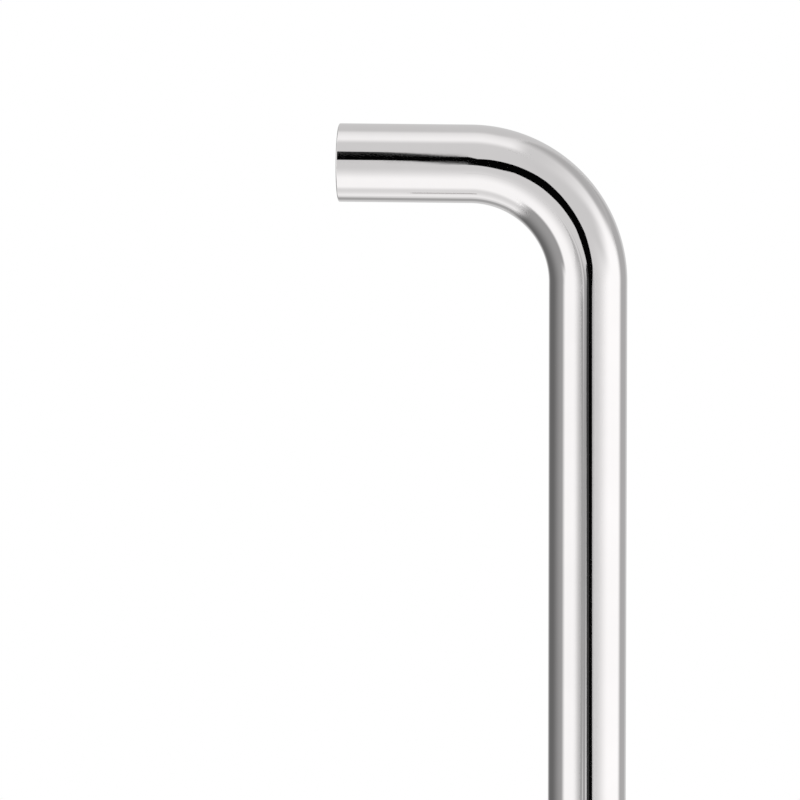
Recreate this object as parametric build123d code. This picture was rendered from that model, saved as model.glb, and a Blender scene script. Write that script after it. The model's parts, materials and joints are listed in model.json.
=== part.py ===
"""D pull handle: one bent stainless tube with a threaded insert in each end.

Frame: +Z runs up the grip, +X points away from the door and +Y across the grip.
The door face is the plane X = 0, and the origin lies on it midway between the two fixings.
Lengths are in millimetres.
"""

from build123d import *

import math
import os

# Tube
tube_diameter = 19.0
wall_thickness = 1.5
end_round = 0.6  # broken outer edge where each leg meets the door

# Shape of the D
fixing_centres = 225.0
projection = 70.0  # door face to the outer face of the grip
bend_radius = 28.5  # to the tube's centreline, one and a half diameters

# Threaded inserts, tapped M8 from the door side
insert_length = 22.0
insert_clearance = 0.02  # gap all round in the tube's bore
insert_lead_in = 1.0
tapping_diameter = 6.8
thread_depth = 16.0
drill_point_angle = 118.0
mouth_diameter = 8.3
mouth_angle = 120.0

# Sizes that follow
tube_radius = tube_diameter / 2
bore_radius = tube_radius - wall_thickness
grip_centre_x = projection - tube_radius
fixing_z = fixing_centres / 2


def bent_path():
    """Centreline: out from the door, down the grip and back, with an arc at each corner."""
    corners = [
        (0, 0, fixing_z),
        (grip_centre_x, 0, fixing_z),
        (grip_centre_x, 0, -fixing_z),
        (0, 0, -fixing_z),
    ]
    return FilletPolyline(*corners, radius=bend_radius)


def handle_tube():
    """The ring section carried along the centreline, with the outer edge of each end rounded."""
    with BuildPart() as tube:
        with BuildLine() as centreline:
            add(bent_path())
        start = Plane(origin=centreline.line @ 0, z_dir=centreline.line % 0)
        with BuildSketch(start):
            Circle(tube_radius)
            Circle(bore_radius, mode=Mode.SUBTRACT)
        sweep()
        end_faces = tube.faces().filter_by_position(Axis.X, 0, 0)
        outer_edges = [face.outer_wire().edges() for face in end_faces]
        fillet(outer_edges, min(end_round, wall_thickness / 2))
    return tube.part


def threaded_insert():
    """A turned plug with its axis on X: face at the door, blind tapped hole and lead-in at the back."""
    plug_radius = bore_radius - insert_clearance
    hole_radius = tapping_diameter / 2
    mouth_radius = mouth_diameter / 2
    mouth_depth = (mouth_radius - hole_radius) / math.tan(math.radians(mouth_angle / 2))
    point_length = hole_radius / math.tan(math.radians(drill_point_angle / 2))
    half_section = [
        (0, mouth_radius),
        (0, plug_radius),
        (insert_length - insert_lead_in, plug_radius),
        (insert_length, plug_radius - insert_lead_in),
        (insert_length, 0),
        (thread_depth + point_length, 0),
        (thread_depth, hole_radius),
        (mouth_depth, hole_radius),
    ]
    with BuildPart() as insert:
        with BuildSketch(Plane.XZ):
            with BuildLine():
                Polyline(*half_section, close=True)
            make_face()
        revolve(axis=Axis.X)
    return insert.part


insert = threaded_insert()
parts = {
    "handle_tube": handle_tube(),
    "upper_insert": Pos(0, 0, fixing_z) * insert,
    "lower_insert": Pos(0, 0, -fixing_z) * insert,
}

os.makedirs("parts", exist_ok=True)
for name, solid in parts.items():
    export_step(solid, f"parts/{name}.step")
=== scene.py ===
"""D pull handle: a bent, polished stainless tube with a threaded plug in each end, on a pale floor.

Lengths are in metres. +Z runs up the grip, +X points out from the door and +Y across the grip.
The door face is the plane x = 0, and the origin lies on it midway between the two fixings.
"""

import json
import math

import bpy
import numpy as np
from bpy.props import FloatProperty, FloatVectorProperty, IntProperty, PointerProperty
from bpy.types import Operator, Panel, PropertyGroup
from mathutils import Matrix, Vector


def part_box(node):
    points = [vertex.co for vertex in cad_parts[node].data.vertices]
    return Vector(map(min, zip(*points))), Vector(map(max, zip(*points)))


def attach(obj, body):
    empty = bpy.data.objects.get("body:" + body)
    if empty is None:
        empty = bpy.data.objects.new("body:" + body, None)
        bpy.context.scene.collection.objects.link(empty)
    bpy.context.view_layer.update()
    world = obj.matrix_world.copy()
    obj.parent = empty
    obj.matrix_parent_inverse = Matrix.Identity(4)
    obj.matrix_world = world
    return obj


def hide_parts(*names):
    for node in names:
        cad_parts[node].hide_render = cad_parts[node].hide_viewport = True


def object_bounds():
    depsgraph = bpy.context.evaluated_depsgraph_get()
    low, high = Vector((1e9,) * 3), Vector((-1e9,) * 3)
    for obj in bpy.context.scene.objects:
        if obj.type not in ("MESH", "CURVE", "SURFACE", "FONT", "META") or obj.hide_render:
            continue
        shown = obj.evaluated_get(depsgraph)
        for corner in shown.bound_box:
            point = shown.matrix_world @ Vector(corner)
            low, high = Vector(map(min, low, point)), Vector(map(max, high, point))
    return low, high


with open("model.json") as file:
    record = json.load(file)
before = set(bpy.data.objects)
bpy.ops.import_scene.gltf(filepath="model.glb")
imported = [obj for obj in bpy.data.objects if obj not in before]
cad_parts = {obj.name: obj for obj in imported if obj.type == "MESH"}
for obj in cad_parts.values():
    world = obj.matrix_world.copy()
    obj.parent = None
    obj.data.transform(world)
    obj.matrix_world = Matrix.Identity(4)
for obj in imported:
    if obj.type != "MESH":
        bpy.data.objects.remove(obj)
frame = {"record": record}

bl_info = {
    "name": "D Pull Handle",
    "version": (1, 0, 0),
    "blender": (4, 5, 0),
    "location": "View3D > Sidebar > D Pull",
    "description": "Makes a bent tube pull handle, its threaded plugs and a studio for it",
    "category": "Object",
}

CAD_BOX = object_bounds()
RECORD = frame["record"]
MOUNTS = {mount["name"]: mount for mount in RECORD["mounts"]}
STEELS = {material["slot"]: material["base_color"] for material in RECORD["materials"]}
TUBE_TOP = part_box("handle_tube")[1]
PLUG_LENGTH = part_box("upper_insert")[1].x
MM_PER_METRE = 1000
FIXING_CENTRES = MOUNTS["fixing_pattern"]["dims"]["spacing_y_mm"] / MM_PER_METRE
TUBE_DIAMETER = 2 * TUBE_TOP.z - FIXING_CENTRES
DRILL_DIAMETER = 2 * MOUNTS["upper_thread"]["dims"]["r_mm"] / MM_PER_METRE
THREAD_LENGTH = MOUNTS["upper_thread"]["dims"]["length_mm"] / MM_PER_METRE

# Rings on the leg, bend, grip, bend and leg, outside and in the bore, and on the round of each end
SHELL_RINGS = (10, 96, 60, 96, 10)
BORE_RINGS = (24, 24, 24, 24, 24)
ROUND_RINGS = 9

# Distances from a cut end, as shares of its round: the ring that guards the round's shading, and the
# nearest ring of the shell
GUARD_RING = 1.1
SHELL_START = 1.5

# Shares of the pitch that the thread's crest and its two flanks take, and the turns it dies out over
THREAD_CREST = 0.125
THREAD_FLANKS = 0.625
THREAD_FADE = 1.5

# Faces round a plug, and rings in one turn of its thread
PLUG_FACETS = 96
THREAD_ROWS_A_TURN = 18

# Edges at a wider angle than this are shaded as sharp
TUBE_CREASE = math.radians(35)
PLUG_CREASE = math.radians(25)

# Places in the lists of the tube's and of a plug's materials
OUTSIDE, END_FACE, BORE = range(3)
TAPPED, TURNED = range(2)

# Ripple of the polish: the length over which it grows into a bend as a share of the bend's radius, its
# waves in a metre, and its height on the straight runs as a share of that in the bends
BEND_FADE = 0.25
RIPPLE_WAVES = 170.0
STRAIGHT_RIPPLE = 0.12

# Roughness of the polish without and with haze, what the buffing lines add to it, and how deep they are
POLISH_ROUGHNESS = (0.022, 0.042)
BUFFING_ROUGHNESS = 0.008
BUFFING_DEPTH = 0.00000002

# Weight of the small wipes in the haze, and the range of the noise that runs from clear to full haze
WIPE_SHARE = 0.35
HAZE_RANGE = (0.45, 0.9)

# The floor's rings lie at even steps from start to end, raised to a power
FLOOR_RINGS = 24
FLOOR_CORNERS = 64
FLOOR_START = 0.02
FLOOR_END = 3.0
FLOOR_POWER = 1.5

# Distances from the floor's middle between which it turns white
FLOOR_PALING = (0.2, 0.42)

# The lamp's width and place, the point that it faces, and the width of the camera's sensor in millimetres
LAMP_SIZE = 0.9
LAMP_PLACE = (-0.55, -0.6, 1.1)
LAMP_AIM = (0.03, 0.0, 0.0)
SENSOR_WIDTH = 36.0


def length_setting(name, description, default, precision=4):
    """A setting in metres."""
    return FloatProperty(
        name=name,
        description=description,
        default=default,
        unit="LENGTH",
        precision=precision,
    )


def angle_setting(name, description, degrees):
    """A setting that is an angle."""
    return FloatProperty(
        name=name,
        description=description,
        default=math.radians(degrees),
        subtype="ANGLE",
    )


def colour_setting(name, description, default):
    """A setting that is a colour."""
    return FloatVectorProperty(
        name=name,
        description=description,
        default=default,
        subtype="COLOR",
        size=3,
        min=0,
        max=1,
    )


class PullTube(PropertyGroup):
    """Sizes of the bent tube."""

    diameter: length_setting("Diameter", "Outside diameter of the tube", TUBE_DIAMETER)
    wall: length_setting("Wall", "Thickness of the tube's wall", 0.0015)
    projection: length_setting(
        "Projection", "From the door face to the outer face of the grip", TUBE_TOP.x
    )
    fixing_centres: length_setting(
        "Fixing centres", "Between the axes of the two legs", FIXING_CENTRES
    )
    bend_radius: length_setting("Bend radius", "Of the centreline at each corner", 0.0285)
    end_round: length_setting("End round", "Radius of the broken outer edge of each end", 0.0003)
    facets: IntProperty(
        name="Facets",
        description="Faces round the tube",
        default=144,
        min=24,
        max=256,
    )


class PullPlug(PropertyGroup):
    """Sizes of the threaded plug held in each end."""

    length: length_setting("Length", "Length of the plug", PLUG_LENGTH)
    clearance: length_setting(
        "Clearance", "Gap all round between the plug and the bore", 0.00002, precision=5
    )
    lead_in: length_setting("Lead-in", "Chamfer at the inner end of the plug", 0.001)
    drill: length_setting("Drill", "Diameter of the hole before tapping", DRILL_DIAMETER)
    drill_depth: length_setting("Drill depth", "Depth of the straight part of the hole", 0.016)
    drill_point: angle_setting(
        "Drill point", "Full angle of the cone at the bottom of the hole", 118
    )
    mouth: length_setting("Mouth", "Diameter of the countersink at the face", 0.0083)
    mouth_angle: angle_setting("Mouth angle", "Full angle of the countersink", 120)
    thread: length_setting("Thread", "Diameter at the root of the thread", 0.008)
    pitch: length_setting("Pitch", "Advance of the thread in one turn", 0.00125, precision=5)


class PullFinish(PropertyGroup):
    """Colours and polish of the steel."""

    polished: colour_setting(
        "Polished steel",
        "Colour of the tube, polished outside and faced at its ends",
        STEELS["polished_stainless"],
    )
    turned: colour_setting(
        "Turned steel", "Colour of the turned plugs and the drawn bore", STEELS["turned_steel"]
    )
    ripple: length_setting(
        "Ripple",
        "Height of the slow waves that the bends stretch into the polish",
        0.000006,
        precision=7,
    )


class PullStage(PropertyGroup):
    """Camera, floor and light."""

    aim: FloatVectorProperty(
        name="Aim",
        description="Point that the camera looks at",
        default=(0.0148, 0.0, 0.0546),
        subtype="XYZ",
        unit="LENGTH",
        size=3,
    )
    azimuth: angle_setting(
        "Azimuth", "Turn of the camera round the handle, from straight across the grip", 5
    )
    elevation: angle_setting("Elevation", "Height of the camera as an angle above the horizon", 8)
    distance: FloatProperty(
        name="Distance",
        description="From the camera to its aim",
        default=2.5,
        unit="LENGTH",
    )
    lens: FloatProperty(
        name="Lens",
        description="Focal length in millimetres on a 36 mm sensor",
        default=463.35,
    )
    floor_colour: colour_setting("Floor", "Colour of the floor near the handle", (0.9, 0.9, 0.9))
    ambient: FloatProperty(
        name="Ambient",
        description="Strength of the even light from all round",
        default=0.72,
        subtype="FACTOR",
    )
    lamp: FloatProperty(
        name="Lamp",
        description="Power in watts of the soft lamp that gives the floor its shadow",
        default=8.0,
    )


# Meshes


def put_mesh(name, points, faces, materials, face_material=None):
    """A smooth-shaded object from an array of points and a list of faces, riding nowhere yet."""
    mesh = bpy.data.meshes.new(name)
    mesh.from_pydata(points.reshape(-1, 3).tolist(), [], faces)
    mesh.polygons.foreach_set("use_smooth", np.ones(len(faces), bool))
    for material in materials:
        mesh.materials.append(material)
    if face_material is not None:
        mesh.polygons.foreach_set("material_index", face_material)
    mesh.update()
    piece = bpy.data.objects.new(name, mesh)
    bpy.context.scene.collection.objects.link(piece)
    return piece


def put_attribute(piece, name, kind, values):
    """A number or a vector on each point of the piece's mesh, for its materials to read."""
    layer = piece.data.attributes.new(name, kind, "POINT")
    field = "vector" if kind == "FLOAT_VECTOR" else "value"
    layer.data.foreach_set(field, values.astype(np.float32).ravel())


def grid_faces(rows, columns, closed_rows, closed_columns):
    """Quads of a grid of points: row i and i + 1, column j and j + 1, wrapping where it is closed."""
    i = np.arange(rows if closed_rows else rows - 1)[:, None]
    j = np.arange(columns if closed_columns else columns - 1)[None, :]
    below = (i + 1) % rows
    beside = (j + 1) % columns
    corners = (i * columns + j, below * columns + j, below * columns + beside, i * columns + beside)
    return np.stack(corners, -1).reshape(-1, 4)


def run_lengths(tube):
    """Lengths of a leg, a bend and the grip along the centreline."""
    leg = tube.projection - tube.diameter / 2 - tube.bend_radius
    bend = tube.bend_radius * math.pi / 2
    grip = tube.fixing_centres - 2 * tube.bend_radius
    return leg, bend, grip


def centreline(along, tube):
    """Point and outward normal of the D at each distance along its centreline.

    The heading turns from straight out of the door, through straight down, to straight back at it.
    Each straight run adds its own length along the heading, and each bend adds the radius times the
    sine of the angle turned ahead and the radius times one minus its cosine to the side.
    The normal is the heading turned a quarter turn towards the outside of the D.
    """
    radius = tube.bend_radius
    leg, bend, grip = run_lengths(tube)
    leg_out = np.clip(along, 0, leg)
    turn_down = np.clip((along - leg) / radius, 0, math.pi / 2)
    run_down = np.clip(along - leg - bend, 0, grip)
    turn_back = np.clip((along - leg - bend - grip) / radius, 0, math.pi / 2)
    leg_back = np.clip(along - leg - grip - 2 * bend, 0, leg)
    x = leg_out + radius * np.sin(turn_down) - radius * (1 - np.cos(turn_back)) - leg_back
    drop = radius * (1 - np.cos(turn_down)) + run_down + radius * np.sin(turn_back)
    z = tube.fixing_centres / 2 - drop
    heading = turn_down + turn_back
    flat = np.zeros_like(x)
    point = np.stack((x, flat, z), -1)
    normal = np.stack((np.sin(heading), flat, np.cos(heading)), -1)
    return point, normal


def even_steps(corners, counts):
    """Distances at even steps on each run between two corners, without the last corner."""
    runs = zip(corners[:-1], corners[1:], counts)
    return np.concatenate([np.linspace(*run, endpoint=False) for run in runs])


def tube_stations(tube):
    """Distance along the centreline, radius and material of each ring, and the corners' distances.

    The rings run out along the tube and back down its bore.
    Each outer edge is a quarter circle: the distance is the round's radius times one minus the cosine
    of an angle, and the ring shrinks by the round's radius times one minus its sine.
    One more ring close behind it keeps the shading of the round off the straight tube.
    The material of a ring is that of the faces between it and the next. The last ring of the shell and
    the last of the bore each begin a flat end.
    """
    outer = tube.diameter / 2
    leg, bend, grip = run_lengths(tube)
    corners = np.cumsum((0, leg, bend, grip, bend, leg))
    shell = even_steps(corners, SHELL_RINGS)
    margin = SHELL_START * tube.end_round
    shell = shell[(shell > margin) & (shell < corners[-1] - margin)]
    angle = np.linspace(0, math.pi / 2, ROUND_RINGS)
    edge_along = np.append(tube.end_round * (1 - np.cos(angle)), GUARD_RING * tube.end_round)
    edge_radius = np.append(outer - tube.end_round * (1 - np.sin(angle)), outer)
    inside = np.append(even_steps(corners, BORE_RINGS), corners[-1])[::-1]
    along = np.concatenate((edge_along, shell, corners[-1] - edge_along[::-1], inside))
    shell_radius = np.full(len(shell), outer)
    bore_radius = np.full(len(inside), outer - tube.wall)
    radius = np.concatenate((edge_radius, shell_radius, edge_radius[::-1], bore_radius))
    shown = len(along) - len(inside)
    material = np.full(len(along), OUTSIDE)
    material[shown:] = BORE
    material[[shown - 1, -1]] = END_FACE
    return along, radius, material, corners


def between(along, start, end, fade):
    """1 from one distance to another and 0 outside them, with a straight ramp at each."""
    rise = np.clip((along - start) / fade + 0.5, 0, 1)
    fall = np.clip((end - along) / fade + 0.5, 0, 1)
    return rise * fall


class PULL_OT_tube(Operator):
    """Make the bent tube, with its rounded ends and its bore"""

    bl_idname = "pull.tube"
    bl_label = "Bent tube"

    def execute(self, context):
        tube = context.scene.pull_tube
        finish = context.scene.pull_finish
        along, radius, material, corners = tube_stations(tube)
        point, normal = centreline(along, tube)
        angle = np.linspace(0, 2 * math.pi, tube.facets, endpoint=False)
        up = np.cos(angle)
        across = np.sin(angle)
        side = np.array((0.0, 1.0, 0.0))
        circle = up[:, None] * normal[:, None] + across[:, None] * side
        points = point[:, None] + radius[:, None, None] * circle
        faces = grid_faces(len(along), tube.facets, True, True)
        steels = [polished_stainless(finish), faced_steel(finish), drawn_bore(finish)]
        piece = put_mesh("bent_tube", points, faces.tolist(), steels, np.repeat(material, tube.facets))
        piece.data.set_sharp_from_angle(angle=TUBE_CREASE)
        reach = radius[:, None]
        unrolled = np.stack(np.broadcast_arrays(along[:, None], reach * up, reach * across), -1)
        put_attribute(piece, "on_tube", "FLOAT_VECTOR", unrolled)
        fade = BEND_FADE * tube.bend_radius
        bent = between(along, *corners[1:3], fade) + between(along, *corners[3:5], fade)
        put_attribute(piece, "bent", "FLOAT", np.repeat(bent, tube.facets))
        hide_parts("handle_tube")
        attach(piece, "root")
        return {"FINISHED"}


def plug_profile(plug, tube, angle):
    """Distance from the face and radius of each ring of a plug, and the material of each row of faces.

    The rings run from the drill point out to the face and round to the plug's back.
    The thread's height at a place is a wave of the distance less the pitch times the turn: a flat crest
    an eighth of the pitch wide, straight flanks and a flat root a quarter of it wide. It dies out over
    the last turn and a half. The turn runs from +Z towards +Y, which makes it a left-hand thread.
    The countersink is a cone, and the ring takes whichever of it and the thread is wider.
    """
    hole = plug.drill / 2
    root = plug.thread / 2
    outer = tube.diameter / 2 - tube.wall - plug.clearance
    tip = plug.drill_depth + hole / math.tan(plug.drill_point / 2)
    rows = round(THREAD_LENGTH / plug.pitch * THREAD_ROWS_A_TURN)
    threaded = np.linspace(THREAD_LENGTH, 0, rows)[:, None]
    phase = (threaded - plug.pitch * angle[None, :] / (2 * math.pi)) / plug.pitch % 1.0
    wave = np.abs(phase - 0.5) * 2
    height = np.clip((wave - THREAD_CREST) / THREAD_FLANKS, 0, 1)
    fade = np.clip((THREAD_LENGTH - threaded) / (THREAD_FADE * plug.pitch), 0, 1)
    cone = plug.mouth / 2 - threaded * math.tan(plug.mouth_angle / 2)
    cut = np.maximum(hole + (root - hole) * height * fade, cone)

    def even_rings(*profile):
        """Rings of one radius all round, each from its distance and radius."""
        return np.repeat(np.array(profile)[:, None], len(angle), 1)

    drilled = even_rings((tip, 0.0), (plug.drill_depth, hole))
    tapped = np.stack(np.broadcast_arrays(threaded, cut), -1)
    turned = even_rings(
        (0.0, outer),
        (plug.length - plug.lead_in, outer),
        (plug.length, outer - plug.lead_in),
        (plug.length, 0.0),
    )
    rings = np.concatenate((drilled, tapped, turned))
    material = np.full(len(rings) - 1, TURNED)
    material[:rows] = TAPPED
    return rings[..., 0], rings[..., 1], material


def make_plug(scene, steels, name, node, centre_z):
    """A turned solid: each ring's radius at each angle, carried round the leg's axis from pole to pole."""
    angle = np.linspace(0, 2 * math.pi, PLUG_FACETS, endpoint=False)
    distance, radius, material = plug_profile(scene.pull_plug, scene.pull_tube, angle)
    local = np.stack((distance, radius * np.sin(angle), radius * np.cos(angle)), -1)
    rings = local[1:-1]
    points = np.concatenate((rings.reshape(-1, 3), local[0, :1], local[-1, :1]))
    tip = rings.size // 3
    last = tip - PLUG_FACETS
    here = np.arange(PLUG_FACETS)
    beside = (here + 1) % PLUG_FACETS
    tip_fan = np.stack((np.full(PLUG_FACETS, tip), here, beside), -1)
    back_fan = np.stack((last + here, np.full(PLUG_FACETS, tip + 1), last + beside), -1)
    faces = grid_faces(len(rings), PLUG_FACETS, False, True).tolist()
    faces += tip_fan.tolist() + back_fan.tolist()
    face_material = np.repeat((*material[1:-1], TAPPED, TURNED), PLUG_FACETS)
    placed = points + np.array((0.0, 0.0, centre_z))
    piece = put_mesh(name, placed, faces, steels, face_material)
    piece.data.set_sharp_from_angle(angle=PLUG_CREASE)
    put_attribute(piece, "on_tube", "FLOAT_VECTOR", points)
    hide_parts(node)
    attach(piece, "root")


class PULL_OT_plugs(Operator):
    """Make the two turned plugs with their tapped holes"""

    bl_idname = "pull.plugs"
    bl_label = "Threaded plugs"

    def execute(self, context):
        scene = context.scene
        reach = scene.pull_tube.fixing_centres / 2
        steels = [tapped_steel(scene.pull_finish), turned_steel(scene.pull_finish)]
        make_plug(scene, steels, "upper_plug", "upper_insert", reach)
        make_plug(scene, steels, "lower_plug", "lower_insert", -reach)
        return {"FINISHED"}


# Materials


def new_material(name):
    """An empty node material with its Principled shader and output."""
    material = bpy.data.materials.get(name)
    if material:
        bpy.data.materials.remove(material)
    material = bpy.data.materials.new(name)
    material.use_nodes = True
    tree = material.node_tree
    tree.nodes.clear()
    output = tree.nodes.new("ShaderNodeOutputMaterial")
    shader = tree.nodes.new("ShaderNodeBsdfPrincipled")
    tree.links.new(shader.outputs["BSDF"], output.inputs["Surface"])
    return material, tree, shader


def new_group(name, inputs, outputs):
    """An empty node group with the given float or vector sockets, each a name, a kind and a start value."""
    tree = bpy.data.node_groups.new(name, "ShaderNodeTree")
    for label, kind, value in inputs:
        socket = tree.interface.new_socket(label, in_out="INPUT", socket_type=kind)
        if value is not None:
            socket.default_value = value
    for label, kind in outputs:
        tree.interface.new_socket(label, in_out="OUTPUT", socket_type=kind)
    return tree, tree.nodes.new("NodeGroupInput"), tree.nodes.new("NodeGroupOutput")


def feed(tree, value, socket):
    """Link an output to a socket, or set a number on it."""
    if isinstance(value, bpy.types.NodeSocket):
        tree.links.new(value, socket)
    else:
        socket.default_value = value


def math_node(tree, operation, *values):
    """A Math node, each input a link or a number."""
    node = tree.nodes.new("ShaderNodeMath")
    node.operation = operation
    for value, socket in zip(values, node.inputs):
        feed(tree, value, socket)
    return node.outputs[0]


def spread(tree, value, low, high, to_low, to_high, smooth=False):
    """A Map Range node from low..high to to_low..to_high, held at its ends."""
    node = tree.nodes.new("ShaderNodeMapRange")
    node.interpolation_type = "SMOOTHSTEP" if smooth else "LINEAR"
    amounts = {"Value": value, "From Min": low, "From Max": high, "To Min": to_low, "To Max": to_high}
    for label, amount in amounts.items():
        feed(tree, amount, node.inputs[label])
    return node.outputs["Result"]


def noise(tree, vector, scale, detail):
    """A Noise Texture read at a vector."""
    node = tree.nodes.new("ShaderNodeTexNoise")
    tree.links.new(vector, node.inputs["Vector"])
    node.inputs["Scale"].default_value = scale
    node.inputs["Detail"].default_value = detail
    return node.outputs["Fac"]


def attribute(tree, name):
    """The node that reads an attribute of the piece's mesh."""
    node = tree.nodes.new("ShaderNodeAttribute")
    node.attribute_name = name
    return node


def lathe_lines():
    """Fine lines round an axis: noise that runs fast along the turned profile and slowly round it.

    The place along the profile is the distance along the axis plus the distance from it.
    """
    name = "Lathe lines"
    if name in bpy.data.node_groups:
        return bpy.data.node_groups[name]
    inputs = (
        ("Point", "NodeSocketVector", None),
        ("Spacing", "NodeSocketFloat", 0.0002),
        ("Broken every", "NodeSocketFloat", 0.004),
    )
    tree, given, result = new_group(name, inputs, (("Lines", "NodeSocketFloat"),))
    split = tree.nodes.new("ShaderNodeSeparateXYZ")
    tree.links.new(given.outputs["Point"], split.inputs[0])
    across = math_node(tree, "MULTIPLY", split.outputs["Y"], split.outputs["Y"])
    reach = math_node(tree, "MULTIPLY_ADD", split.outputs["Z"], split.outputs["Z"], across)
    reach = math_node(tree, "SQRT", reach)
    profile = math_node(tree, "ADD", split.outputs["X"], reach)
    join = tree.nodes.new("ShaderNodeCombineXYZ")
    tree.links.new(math_node(tree, "DIVIDE", profile, given.outputs["Spacing"]), join.inputs["X"])
    for axis in ("Y", "Z"):
        slow = math_node(tree, "DIVIDE", split.outputs[axis], given.outputs["Broken every"])
        tree.links.new(slow, join.inputs[axis])
    fine = noise(tree, join.outputs[0], scale=1.0, detail=2.0)
    tree.links.new(fine, result.inputs["Lines"])
    return tree


def handled_haze():
    """Faint clouds and soft wipes left on steel: two sizes of noise, the smaller one weaker."""
    name = "Handled haze"
    if name in bpy.data.node_groups:
        return bpy.data.node_groups[name]
    inputs = (
        ("Point", "NodeSocketVector", None),
        ("Size", "NodeSocketFloat", 0.02),
    )
    tree, given, result = new_group(name, inputs, (("Haze", "NodeSocketFloat"),))
    scaled = tree.nodes.new("ShaderNodeVectorMath")
    scaled.operation = "DIVIDE"
    size = tree.nodes.new("ShaderNodeCombineXYZ")
    for axis in ("X", "Y", "Z"):
        tree.links.new(given.outputs["Size"], size.inputs[axis])
    tree.links.new(given.outputs["Point"], scaled.inputs[0])
    tree.links.new(size.outputs[0], scaled.inputs[1])
    cloud = noise(tree, scaled.outputs[0], scale=1.0, detail=3.0)
    wipe = noise(tree, scaled.outputs[0], scale=7.0, detail=2.0)
    mixed = math_node(tree, "MULTIPLY_ADD", wipe, WIPE_SHARE, cloud)
    clouded = spread(tree, mixed, *HAZE_RANGE, 0.0, 1.0, smooth=True)
    tree.links.new(clouded, result.inputs["Haze"])
    return tree


def place_group(tree, group, point, values):
    """A group node with its Point linked and its numbers set."""
    node = tree.nodes.new("ShaderNodeGroup")
    node.node_tree = group
    tree.links.new(point, node.inputs["Point"])
    for label, value in values.items():
        node.inputs[label].default_value = value
    return node.outputs[0]


def tinted(tree, shader, colour, mask, darker):
    """Base Color that runs from the colour to a slightly darker one with the mask."""
    mix = tree.nodes.new("ShaderNodeMix")
    mix.data_type = "RGBA"
    mix.inputs["A"].default_value = (*colour, 1)
    mix.inputs["B"].default_value = (*(channel * darker for channel in colour), 1)
    tree.links.new(mask, mix.inputs["Factor"])
    tree.links.new(mix.outputs["Result"], shader.inputs["Base Color"])


def roughened(tree, shader, mask, low, high, smoothest, roughest):
    """Roughness that rises with the mask, from its low value to its high one."""
    tree.links.new(spread(tree, mask, low, high, smoothest, roughest), shader.inputs["Roughness"])


def bumped(tree, shader, height, depth, normal=None):
    """Bump of a height from 0 to 1, with the given real depth, onto the shader's Normal."""
    bump = tree.nodes.new("ShaderNodeBump")
    bump.inputs["Distance"].default_value = depth
    tree.links.new(height, bump.inputs["Height"])
    if normal is not None:
        tree.links.new(normal, bump.inputs["Normal"])
    tree.links.new(bump.outputs["Normal"], shader.inputs["Normal"])
    return bump.outputs["Normal"]


def bare_steel(name):
    """A bare metal material, and the place on its piece that its marks are read at."""
    material, tree, shader = new_material(name)
    shader.inputs["Metallic"].default_value = 1.0
    return material, tree, shader, attribute(tree, "on_tube").outputs["Vector"]


def add_lines(tree, place, spacing, broken_every):
    """Lathe lines at a place."""
    return place_group(tree, lathe_lines(), place, {"Spacing": spacing, "Broken every": broken_every})


def add_haze(tree, place, size):
    """Haze at a place."""
    return place_group(tree, handled_haze(), place, {"Size": size})


def polished_stainless(finish):
    """Mirror polished tube: slow ripple, stronger in the bends, faint buffing lines and haze."""
    material, tree, shader, place = bare_steel("Polished stainless")
    lines = add_lines(tree, place, spacing=0.00035, broken_every=0.003)
    haze = add_haze(tree, place, size=0.03)
    tinted(tree, shader, finish.polished, haze, darker=0.975)
    hazed = spread(tree, haze, 0.0, 1.0, *POLISH_ROUGHNESS)
    worn = math_node(tree, "MULTIPLY_ADD", lines, BUFFING_ROUGHNESS, hazed)
    tree.links.new(worn, shader.inputs["Roughness"])
    waves = noise(tree, place, scale=RIPPLE_WAVES, detail=1.0)
    bent = attribute(tree, "bent").outputs["Fac"]
    share = spread(tree, bent, 0.0, 1.0, STRAIGHT_RIPPLE, 1.0, smooth=True)
    ripple = math_node(tree, "MULTIPLY", waves, share)
    normal = bumped(tree, shader, ripple, finish.ripple)
    bumped(tree, shader, lines, BUFFING_DEPTH, normal)
    return material


def faced_steel(finish):
    """Cut end of the tube, faced on a lathe and lightly deburred."""
    material, tree, shader, place = bare_steel("Faced steel")
    lines = add_lines(tree, place, spacing=0.00006, broken_every=0.002)
    haze = add_haze(tree, place, size=0.004)
    tinted(tree, shader, finish.polished, haze, darker=0.88)
    roughened(tree, shader, lines, 0.3, 0.7, smoothest=0.22, roughest=0.36)
    bumped(tree, shader, lines, depth=0.000004)
    return material


def drawn_bore(finish):
    """Inside of the tube, as drawn and never polished."""
    material, tree, shader, place = bare_steel("Drawn bore")
    haze = add_haze(tree, place, size=0.006)
    tinted(tree, shader, finish.turned, haze, darker=0.7)
    roughened(tree, shader, haze, 0.0, 1.0, smoothest=0.38, roughest=0.55)
    bumped(tree, shader, haze, depth=0.00001)
    return material


def turned_steel(finish):
    """Turned outside and faces of a plug: tool marks round the axis, with a satin sheen."""
    material, tree, shader, place = bare_steel("Turned steel")
    lines = add_lines(tree, place, spacing=0.00012, broken_every=0.005)
    haze = add_haze(tree, place, size=0.005)
    tinted(tree, shader, finish.turned, haze, darker=0.85)
    roughened(tree, shader, lines, 0.25, 0.75, smoothest=0.2, roughest=0.34)
    bumped(tree, shader, lines, depth=0.000008)
    return material


def tapped_steel(finish):
    """Tapped thread and drilled bottom: cut steel with a trace of oil in its colour."""
    material, tree, shader, place = bare_steel("Tapped steel")
    lines = add_lines(tree, place, spacing=0.00005, broken_every=0.001)
    haze = add_haze(tree, place, size=0.002)
    tinted(tree, shader, finish.turned, haze, darker=0.62)
    roughened(tree, shader, haze, 0.0, 1.0, smoothest=0.24, roughest=0.42)
    bumped(tree, shader, lines, depth=0.000003)
    return material


# Stage


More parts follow.
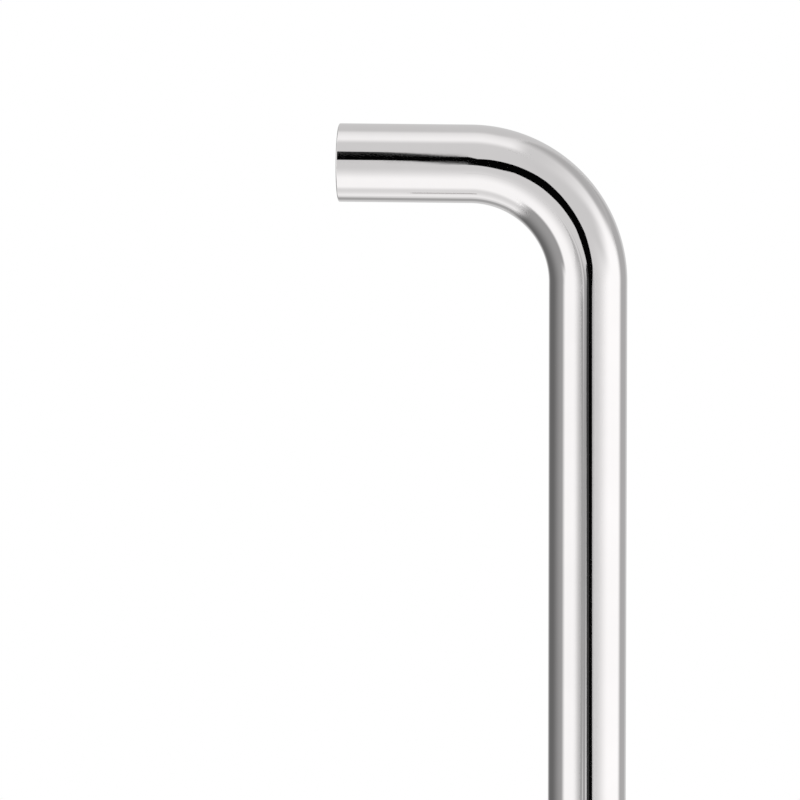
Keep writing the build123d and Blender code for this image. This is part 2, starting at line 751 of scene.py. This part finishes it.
# Cards that only the steel sees. Each has a name, its distance in metres, a roll in degrees, the range of
# its first and of its second angle, how bright it is, and over how many degrees each of its four edges
# fades: start and end of the first range, then of the second. Angles are seen from the handle and start
# straight in front of it. Unrolled, the first runs to the right and the second up. With a roll of 90 the
# first runs up and over the top, and the second to the left.
CARDS = (
    ("back_wall", 9.0, 0, (100, 262), (-75, 70), 0.76, (14, 14, 15, 15)),
    ("back_right", 8.9, 0, (104, 166), (-60, 44), 0.5, (16, 20, 20, 8)),
    ("front_wall", 8.8, 90, (-48, 160), (-80, 80), 0.78, (20, 15, 10, 10)),
    ("floor_behind", 8.7, 90, (-124, -62), (-70, 70), 0.88, (10, 6, 10, 10)),
    ("floor_glow", 8.6, 90, (-112, -84), (-60, 60), 1.1, (6, 22, 10, 10)),
    ("floor_far_strip", 8.5, 90, (-149, -114), (-35, 35), 0.44, (16, 9, 10, 10)),
    ("floor_in_front", 8.4, 90, (-81, -4), (-75, 75), 1.21, (15, 42, 10, 10)),
    ("overhead_box", 8.3, 90, (65, 130), (-24, 60), 1.13, (17, 48, 10, 20)),
    ("right_box", 8.2, 0, (26, 122), (-60, 64), 1.27, (46, 20, 40, 60)),
    ("upper_back_right", 8.17, 90, (100, 166), (-78, -14.5), 0.52, (30, 22, 28, 4)),
    ("upper_right_wall", 8.15, 90, (-12, 86), (-82, -12), 0.75, (32, 42, 30, 12)),
    ("left_box", 8.1, 0, (-90, -12), (-55, 50), 1.22, (8, 30, 25, 30)),
    ("left_grey", 8.0, 45, (-190, -59), (-13.5, 80), 0.42, (10, 18, 10, 20)),
    ("left_slant", 7.9, 45, (-100, -56), (-13.5, 30), 0.4, (25, 10, 10, 8)),
    ("left_dark", 7.8, 45, (-190, -72), (-13.5, 80), 0.165, (10, 56, 10, 20)),
    ("back_left", 7.75, 0, (-215, -139), (-48, 75), 0.7, (20, 28, 12, 15)),
    ("surround_left", 7.7, 0, (-34, -9), (-12, -5.5), 0.52, (26, 4, 1, 2)),
    ("surround_right", 7.6, 0, (12, 27), (-15, 3), 0.5, (1, 12, 3, 6)),
    ("near_grey", 0.35, 0, (2.2, 10.2), (-26, 8.5), 0.42, (1, 1, 2, 2)),
    ("nearer_grey", 0.15, 0, (8.0, 16.8), (-40, 27.5), 0.44, (3.5, 0.5, 2, 3)),
)

# Flags beside the lens: a name, a distance in metres, how bright it is, and its outline as angles to the
# right and up, seen from the handle.
FLAGS = (
    ("grey_flag", 5.7, 0.05, ((-0.4, -6.8), (2.0, -5.6), (6.4, -4.4), (13.5, -13.0), (6.6, -13.0))),
    (
        "black_flag",
        5.6,
        0.0015,
        (
            (-9.0, 15.4),
            (-9.0, 39.8),
            (-6.4, 39.8),
            (-5.55, 34.5),
            (-4.8, 27.8),
            (-2.2, 23.0),
            (1.0, 25.2),
            (9.0, 27.3),
            (16.3, 27.1),
            (21.3, 25.4),
            (24.2, 20.0),
            (26.0, 12.6),
            (26.6, 7.0),
            (22.4, -2.2),
            (16.4, -6.6),
            (23.0, -13.0),
            (13.3, -13.0),
            (6.4, -6.6),
            (6.9, -2.6),
            (9.7, 1.0),
            (8.8, 4.6),
            (6.0, 7.6),
            (1.5, 7.6),
            (-1.5, 3.6),
            (-3.0, 3.6),
            (-4.3, 4.4),
            (-4.6, 10.5),
            (-5.0, 15.4),
        ),
    ),
)

CARD_SIDES = ("First start", "First end", "Second start", "Second end")
CARD_ROWS = 33
CARD_COLUMNS = 25


def soft_edges():
    """Mask of a card: each side of its map rises smoothly from 0 at the edge to 1 inside."""
    name = "Soft edges"
    if name in bpy.data.node_groups:
        return bpy.data.node_groups[name]
    inputs = [("Point", "NodeSocketVector", None)]
    inputs += [(side, "NodeSocketFloat", 0.1) for side in CARD_SIDES]
    tree, given, result = new_group(name, inputs, (("Mask", "NodeSocketFloat"),))
    split = tree.nodes.new("ShaderNodeSeparateXYZ")
    tree.links.new(given.outputs["Point"], split.inputs[0])
    mask = None
    for axis, start, end in (("X", *CARD_SIDES[:2]), ("Y", *CARD_SIDES[2:])):
        inward = math_node(tree, "SUBTRACT", 1.0, split.outputs[axis])
        for value, side in ((split.outputs[axis], start), (inward, end)):
            rise = spread(tree, value, 0.0, given.outputs[side], 0.0, 1.0, smooth=True)
            mask = rise if mask is None else math_node(tree, "MULTIPLY", mask, rise)
    tree.links.new(mask, result.inputs["Mask"])
    return tree


def card_material(name, brightness):
    """A plain glow that only shows itself, and never lights anything."""
    material, tree, shader = new_material(f"Card {name}")
    shader.inputs["Base Color"].default_value = (0, 0, 0, 1)
    shader.inputs["Specular IOR Level"].default_value = 0.0
    shader.inputs["Roughness"].default_value = 1.0
    shader.inputs["Emission Color"].default_value = (1, 1, 1, 1)
    shader.inputs["Emission Strength"].default_value = brightness
    material.cycles.emission_sampling = "NONE"
    return material, tree, shader


def only_in_steel(card):
    """A card shows in reflections alone."""
    card.visible_camera = False
    card.visible_diffuse = False
    card.visible_transmission = False
    card.visible_shadow = False


def make_card(name, distance, roll, first, second, brightness, fades):
    """A patch of a large sphere between two pairs of angles, glowing evenly and fading at its edges.

    A place is the cosine of both angles ahead, the sine of the first times the cosine of the second
    along the rolled horizontal, and the sine of the second along the rolled vertical.
    """
    a = np.radians(np.linspace(*first, CARD_ROWS))[:, None]
    b = np.radians(np.linspace(*second, CARD_COLUMNS))[None, :]
    turn = math.radians(roll)
    ahead = np.cos(b) * np.cos(a)
    beside = np.cos(b) * np.sin(a)
    above = np.broadcast_to(np.sin(b), ahead.shape)
    x = beside * math.cos(turn) - above * math.sin(turn)
    z = beside * math.sin(turn) + above * math.cos(turn)
    direction = np.stack((x, -ahead, z), -1)
    faces = grid_faces(CARD_ROWS, CARD_COLUMNS, False, False)
    material, tree, shader = card_material(name, brightness)
    map_node = tree.nodes.new("ShaderNodeUVMap")
    map_node.uv_map = "card"
    first_span = first[1] - first[0]
    second_span = second[1] - second[0]
    spans = (first_span, first_span, second_span, second_span)
    values = {side: fade / span for side, fade, span in zip(CARD_SIDES, fades, spans)}
    mask = place_group(tree, soft_edges(), map_node.outputs["UV"], values)
    tree.links.new(mask, shader.inputs["Alpha"])
    card = put_mesh(f"card_{name}", direction * distance, faces.tolist(), [material])
    u, v = np.meshgrid(np.linspace(0, 1, CARD_ROWS), np.linspace(0, 1, CARD_COLUMNS), indexing="ij")
    uv = np.stack((u, v), -1).reshape(-1, 2)
    layer = card.data.uv_layers.new(name="card")
    layer.data.foreach_set("uv", uv[faces.ravel()].ravel())
    only_in_steel(card)


def make_flag(name, distance, brightness, outline):
    """A flat face straight ahead, whose corners lie in the directions of its outline.

    A corner is the tangent of its right angle across, and the tangent of its up angle over the cosine of
    the right angle up, both times the distance.
    """
    right, up = np.radians(np.array(outline)).T
    corners = np.stack((np.tan(right), -np.ones(len(right)), np.tan(up) / np.cos(right)), -1) * distance
    material = card_material(name, brightness)[0]
    flag = put_mesh(f"card_{name}", corners, [list(range(len(right)))], [material])
    only_in_steel(flag)


def mixed_shaders(tree, share, first, second):
    """The first shader, turning into the second as the share goes from 0 to 1."""
    mix = tree.nodes.new("ShaderNodeMixShader")
    for value, socket in zip((share, first, second), mix.inputs):
        tree.links.new(value, socket)
    return mix.outputs[0]


def floor_material(colour):
    """Pale floor that turns into pure white away from the handle, so that no edge shows.

    It is clear from below.
    """
    material, tree, shader = new_material("Studio floor")
    output = next(node for node in tree.nodes if node.type == "OUTPUT_MATERIAL")
    shader.inputs["Base Color"].default_value = (*colour, 1)
    shader.inputs["Roughness"].default_value = 1.0
    shader.inputs["Specular IOR Level"].default_value = 0.0
    place = tree.nodes.new("ShaderNodeTexCoord").outputs["Object"]
    length = tree.nodes.new("ShaderNodeVectorMath")
    length.operation = "LENGTH"
    tree.links.new(place, length.inputs[0])
    far = spread(tree, length.outputs["Value"], *FLOOR_PALING, 0.0, 1.0, smooth=True)
    white = tree.nodes.new("ShaderNodeEmission").outputs[0]
    clear = tree.nodes.new("ShaderNodeBsdfTransparent").outputs[0]
    behind = tree.nodes.new("ShaderNodeNewGeometry").outputs["Backfacing"]
    paling = mixed_shaders(tree, far, shader.outputs[0], white)
    tree.links.new(mixed_shaders(tree, behind, paling, clear), output.inputs["Surface"])
    material.cycles.emission_sampling = "NONE"
    return material


def make_floor(colour, height):
    """A flat disc: the radius times the cosine and sine of the angle, in rings that widen outwards."""
    reach = np.linspace(FLOOR_START, FLOOR_END, FLOOR_RINGS)[:, None] ** FLOOR_POWER
    angle = np.linspace(0, 2 * math.pi, FLOOR_CORNERS, endpoint=False)[None, :]
    flat = np.zeros((FLOOR_RINGS, FLOOR_CORNERS))
    rings = np.stack((reach * np.cos(angle), reach * np.sin(angle), flat), -1).reshape(-1, 3)
    points = np.concatenate((rings, np.zeros((1, 3))))
    here = np.arange(FLOOR_CORNERS)
    beside = (here + 1) % FLOOR_CORNERS
    fan = np.stack((np.full(FLOOR_CORNERS, len(rings)), here, beside), -1)
    faces = grid_faces(FLOOR_RINGS, FLOOR_CORNERS, False, True).tolist() + fan.tolist()
    floor = put_mesh("studio_floor", points, faces, [floor_material(colour)])
    floor.location.z = height
    floor.visible_glossy = False
    floor.visible_transmission = False


def white_background(tree, strength):
    """A white Background shader."""
    node = tree.nodes.new("ShaderNodeBackground")
    node.inputs["Color"].default_value = (1, 1, 1, 1)
    node.inputs["Strength"].default_value = strength
    return node.outputs[0]


def make_world(ambient):
    """Even light from all round, but plain white to the camera and in what metal or glass shows."""
    world = bpy.data.worlds.new("Studio")
    bpy.context.scene.world = world
    world.use_nodes = True
    tree = world.node_tree
    tree.nodes.clear()
    output = tree.nodes.new("ShaderNodeOutputWorld")
    even = white_background(tree, ambient)
    white = white_background(tree, 1.0)
    path = tree.nodes.new("ShaderNodeLightPath")
    seen = math_node(tree, "MAXIMUM", path.outputs["Is Camera Ray"], path.outputs["Is Glossy Ray"])
    seen = math_node(tree, "MAXIMUM", seen, path.outputs["Is Transmission Ray"])
    tree.links.new(mixed_shaders(tree, seen, even, white), output.inputs["Surface"])


def place_facing(thing, place, target):
    """Link a camera or lamp into the scene at a place, facing a target, with its top up."""
    bpy.context.scene.collection.objects.link(thing)
    thing.location = place
    thing.rotation_euler = (target - place).to_track_quat("-Z", "Y").to_euler()


def make_lamp(watts):
    """The soft lamp that gives the floor its shadow. The steel doesn't mirror it."""
    data = bpy.data.lights.new("soft_lamp", "AREA")
    data.shape = "DISK"
    data.size = LAMP_SIZE
    data.energy = watts
    lamp = bpy.data.objects.new("soft_lamp", data)
    lamp.visible_glossy = False
    place_facing(lamp, Vector(LAMP_PLACE), Vector(LAMP_AIM))


def make_camera(stage):
    """The camera, its distance from the aim back along its azimuth and elevation.

    Back is the sine of the azimuth and minus its cosine, both times the cosine of the elevation, and
    the sine of the elevation upwards.
    """
    data = bpy.data.cameras.new("camera")
    data.sensor_width = SENSOR_WIDTH
    data.lens = stage.lens
    camera = bpy.data.objects.new("camera", data)
    aim = Vector(stage.aim)
    level = math.cos(stage.elevation)
    back = Vector((
        math.sin(stage.azimuth) * level,
        -math.cos(stage.azimuth) * level,
        math.sin(stage.elevation),
    ))
    place_facing(camera, aim + back * stage.distance, aim)
    bpy.context.scene.camera = camera


class PULL_OT_stage(Operator):
    """Make the camera, the floor, the white surround, the lamp and the cards that the steel reflects"""

    bl_idname = "pull.stage"
    bl_label = "Studio"

    def execute(self, context):
        stage = context.scene.pull_stage
        context.scene.view_settings.view_transform = "Standard"
        make_world(stage.ambient)
        make_floor(stage.floor_colour, CAD_BOX[0].z)
        for card in CARDS:
            make_card(*card)
        for flag in FLAGS:
            make_flag(*flag)
        make_lamp(stage.lamp)
        make_camera(stage)
        return {"FINISHED"}


def draw_settings(box, settings):
    """One row for each setting of a group."""
    for name in settings.bl_rna.properties.keys():
        if name not in ("rna_type", "name"):
            box.prop(settings, name)


class PULL_PT_sidebar(Panel):
    """Buttons and sizes of the pull handle"""

    bl_idname = "PULL_PT_sidebar"
    bl_label = "D Pull Handle"
    bl_space_type = "VIEW_3D"
    bl_region_type = "UI"
    bl_category = "D Pull"

    def draw(self, context):
        for operator, settings in (
            (PULL_OT_tube, context.scene.pull_tube),
            (PULL_OT_plugs, context.scene.pull_plug),
            (PULL_OT_stage, context.scene.pull_stage),
        ):
            box = self.layout.box()
            box.operator(operator.bl_idname)
            draw_settings(box, settings)
        draw_settings(self.layout.box(), context.scene.pull_finish)


SETTINGS = {
    "pull_tube": PullTube,
    "pull_plug": PullPlug,
    "pull_finish": PullFinish,
    "pull_stage": PullStage,
}
CLASSES = (*SETTINGS.values(), PULL_OT_tube, PULL_OT_plugs, PULL_OT_stage, PULL_PT_sidebar)


def register():
    for cls in CLASSES:
        bpy.utils.register_class(cls)
    for name, cls in SETTINGS.items():
        setattr(bpy.types.Scene, name, PointerProperty(type=cls))


def unregister():
    for name in SETTINGS:
        delattr(bpy.types.Scene, name)
    for cls in reversed(CLASSES):
        bpy.utils.unregister_class(cls)


def main():
    register()
    bpy.ops.pull.tube()
    bpy.ops.pull.plugs()
    bpy.ops.pull.stage()


if __name__ == "__main__":
    main()
